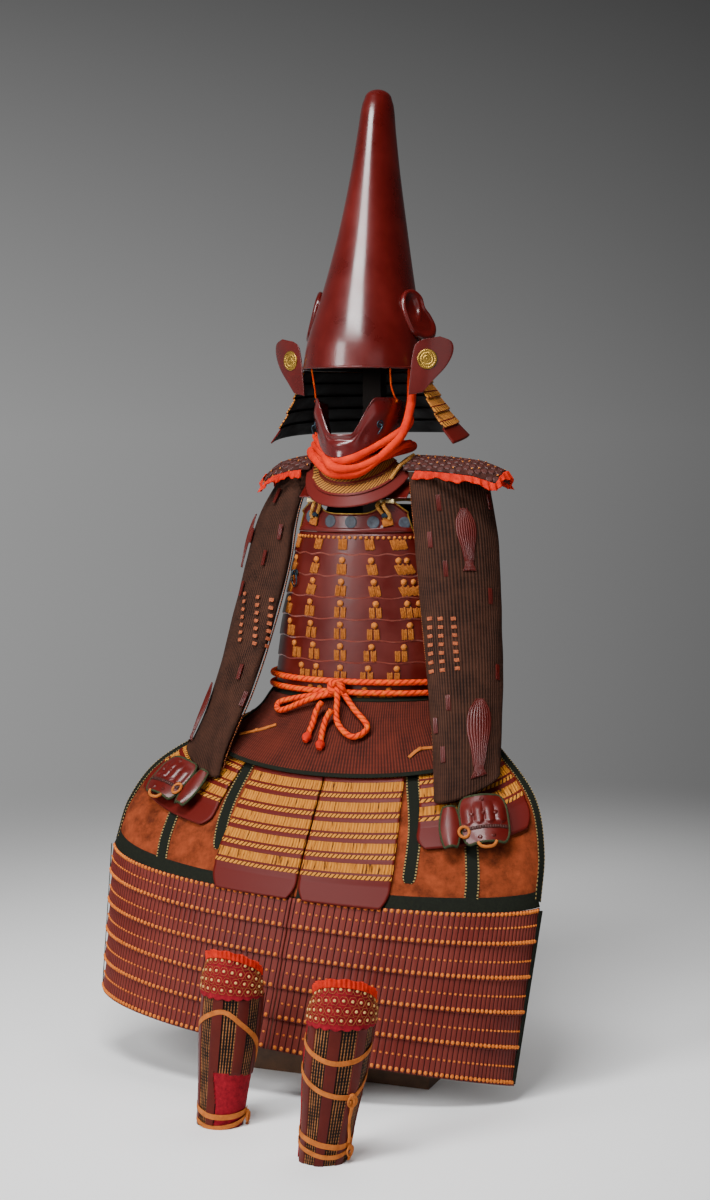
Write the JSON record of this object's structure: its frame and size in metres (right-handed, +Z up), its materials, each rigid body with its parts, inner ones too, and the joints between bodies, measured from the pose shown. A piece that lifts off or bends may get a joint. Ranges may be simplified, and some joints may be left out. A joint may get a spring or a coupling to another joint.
{
  "type": "samurai armour on its wooden stand and storage chest",
  "caption": "Samurai armour with tall lacquered helmet, laced cuirass and skirts, mail sleeves, scale thigh guard and shin guards, set up on a wooden stand and storage chest.",
  "frame": {"origin": "on the floor below the stand's post, on the chest's flat bottom", "axes": "+Z up along the helmet's height, the wearer faces -Y and the wearer's left is +X"},
  "size_m": [0.9346, 0.9625, 2.003],
  "materials": {
    "chest_wood": "worn dark wood",
    "stand_wood": "dark stained wood",
    "helmet_lacquer": "deep red-brown gloss lacquer over leather and iron",
    "mask_lacquer": "red-brown gloss lacquer over iron",
    "tan_lacing": "tan silk lacing over lacquered lames",
    "worn_lacquer": "satin red-brown lacquer with worn edges",
    "orange_cord": "vermilion-orange twisted silk cord",
    "bone": "polished bone",
    "iron": "dark wrought iron",
    "mail": "russet mail sewn on dark cloth",
    "leather": "smoked rust-orange leather",
    "scale_lacquer": "narrow red-brown lacquered scales on cloth",
    "tasset_lacing": "tan silk lacing between thin lacquered lames",
    "plate_lacquer": "red-brown gloss lacquer over iron",
    "hexagon_cloth": "brown cloth with small hexagon plates",
    "frill_cloth": "vermilion ruffled cloth",
    "splint_lacquer": "red-brown lacquered splints on dark mail",
    "knee_cloth": "crimson quilted cloth with hexagons"
  },
  "bodies": {
    "armour": {"chest_box": "chest_wood", "chest_lid": "chest_wood", "stand_frame": "stand_wood", "helmet_cap": "helmet_lacquer", "helmet_wing_left": "helmet_lacquer", "helmet_wing_right": "helmet_lacquer", "neck_guard": "tan_lacing", "face_guard": "mask_lacquer", "throat_guard": "tan_lacing", "chin_cord": "orange_cord", "cuirass_front": "worn_lacquer", "cuirass_back": "worn_lacquer", "chest_board": "worn_lacquer", "shoulder_strap_left": "worn_lacquer", "shoulder_strap_right": "worn_lacquer", "toggle_left": "bone", "toggle_right": "bone", "ring_staple": "iron", "mail_belt": "mail", "waist_cord": "orange_cord", "cord_end_left": "orange_cord", "cord_end_right": "orange_cord", "thigh_leather_left": "leather", "thigh_leather_right": "leather", "thigh_scales_left": "scale_lacquer", "thigh_scales_right": "scale_lacquer", "tasset_back": "tasset_lacing", "tasset_front_left": "tasset_lacing", "tasset_side_left": "tasset_lacing", "tasset_rear_left": "tasset_lacing", "sleeve_left": "mail", "gourd_upper_left": "plate_lacquer", "gourd_lower_left": "plate_lacquer", "hand_guard_left": "plate_lacquer", "thumb_plate_left": "plate_lacquer", "shoulder_piece_left": "hexagon_cloth", "shoulder_frill_left": "frill_cloth", "shin_left": "splint_lacquer", "knee_left": "knee_cloth", "knee_frill_left": "frill_cloth", "tasset_front_right": "tasset_lacing", "tasset_side_right": "tasset_lacing", "tasset_rear_right": "tasset_lacing", "sleeve_right": "mail", "gourd_upper_right": "plate_lacquer", "gourd_lower_right": "plate_lacquer", "hand_guard_right": "plate_lacquer", "thumb_plate_right": "plate_lacquer", "shoulder_piece_right": "hexagon_cloth", "shoulder_frill_right": "frill_cloth", "shin_right": "splint_lacquer", "knee_right": "knee_cloth", "knee_frill_right": "frill_cloth"},
    "ring": {"breast_ring": "iron"}
  },
  "joints": [
    {"name": "ring_swing", "type": "hinge", "parent": "armour", "child": "ring", "pos_m": [-0.13177, -0.09718, 0.9999], "axis": [-0.6756, 0.7373, 0], "range_deg": [0, 25]}
  ]
}
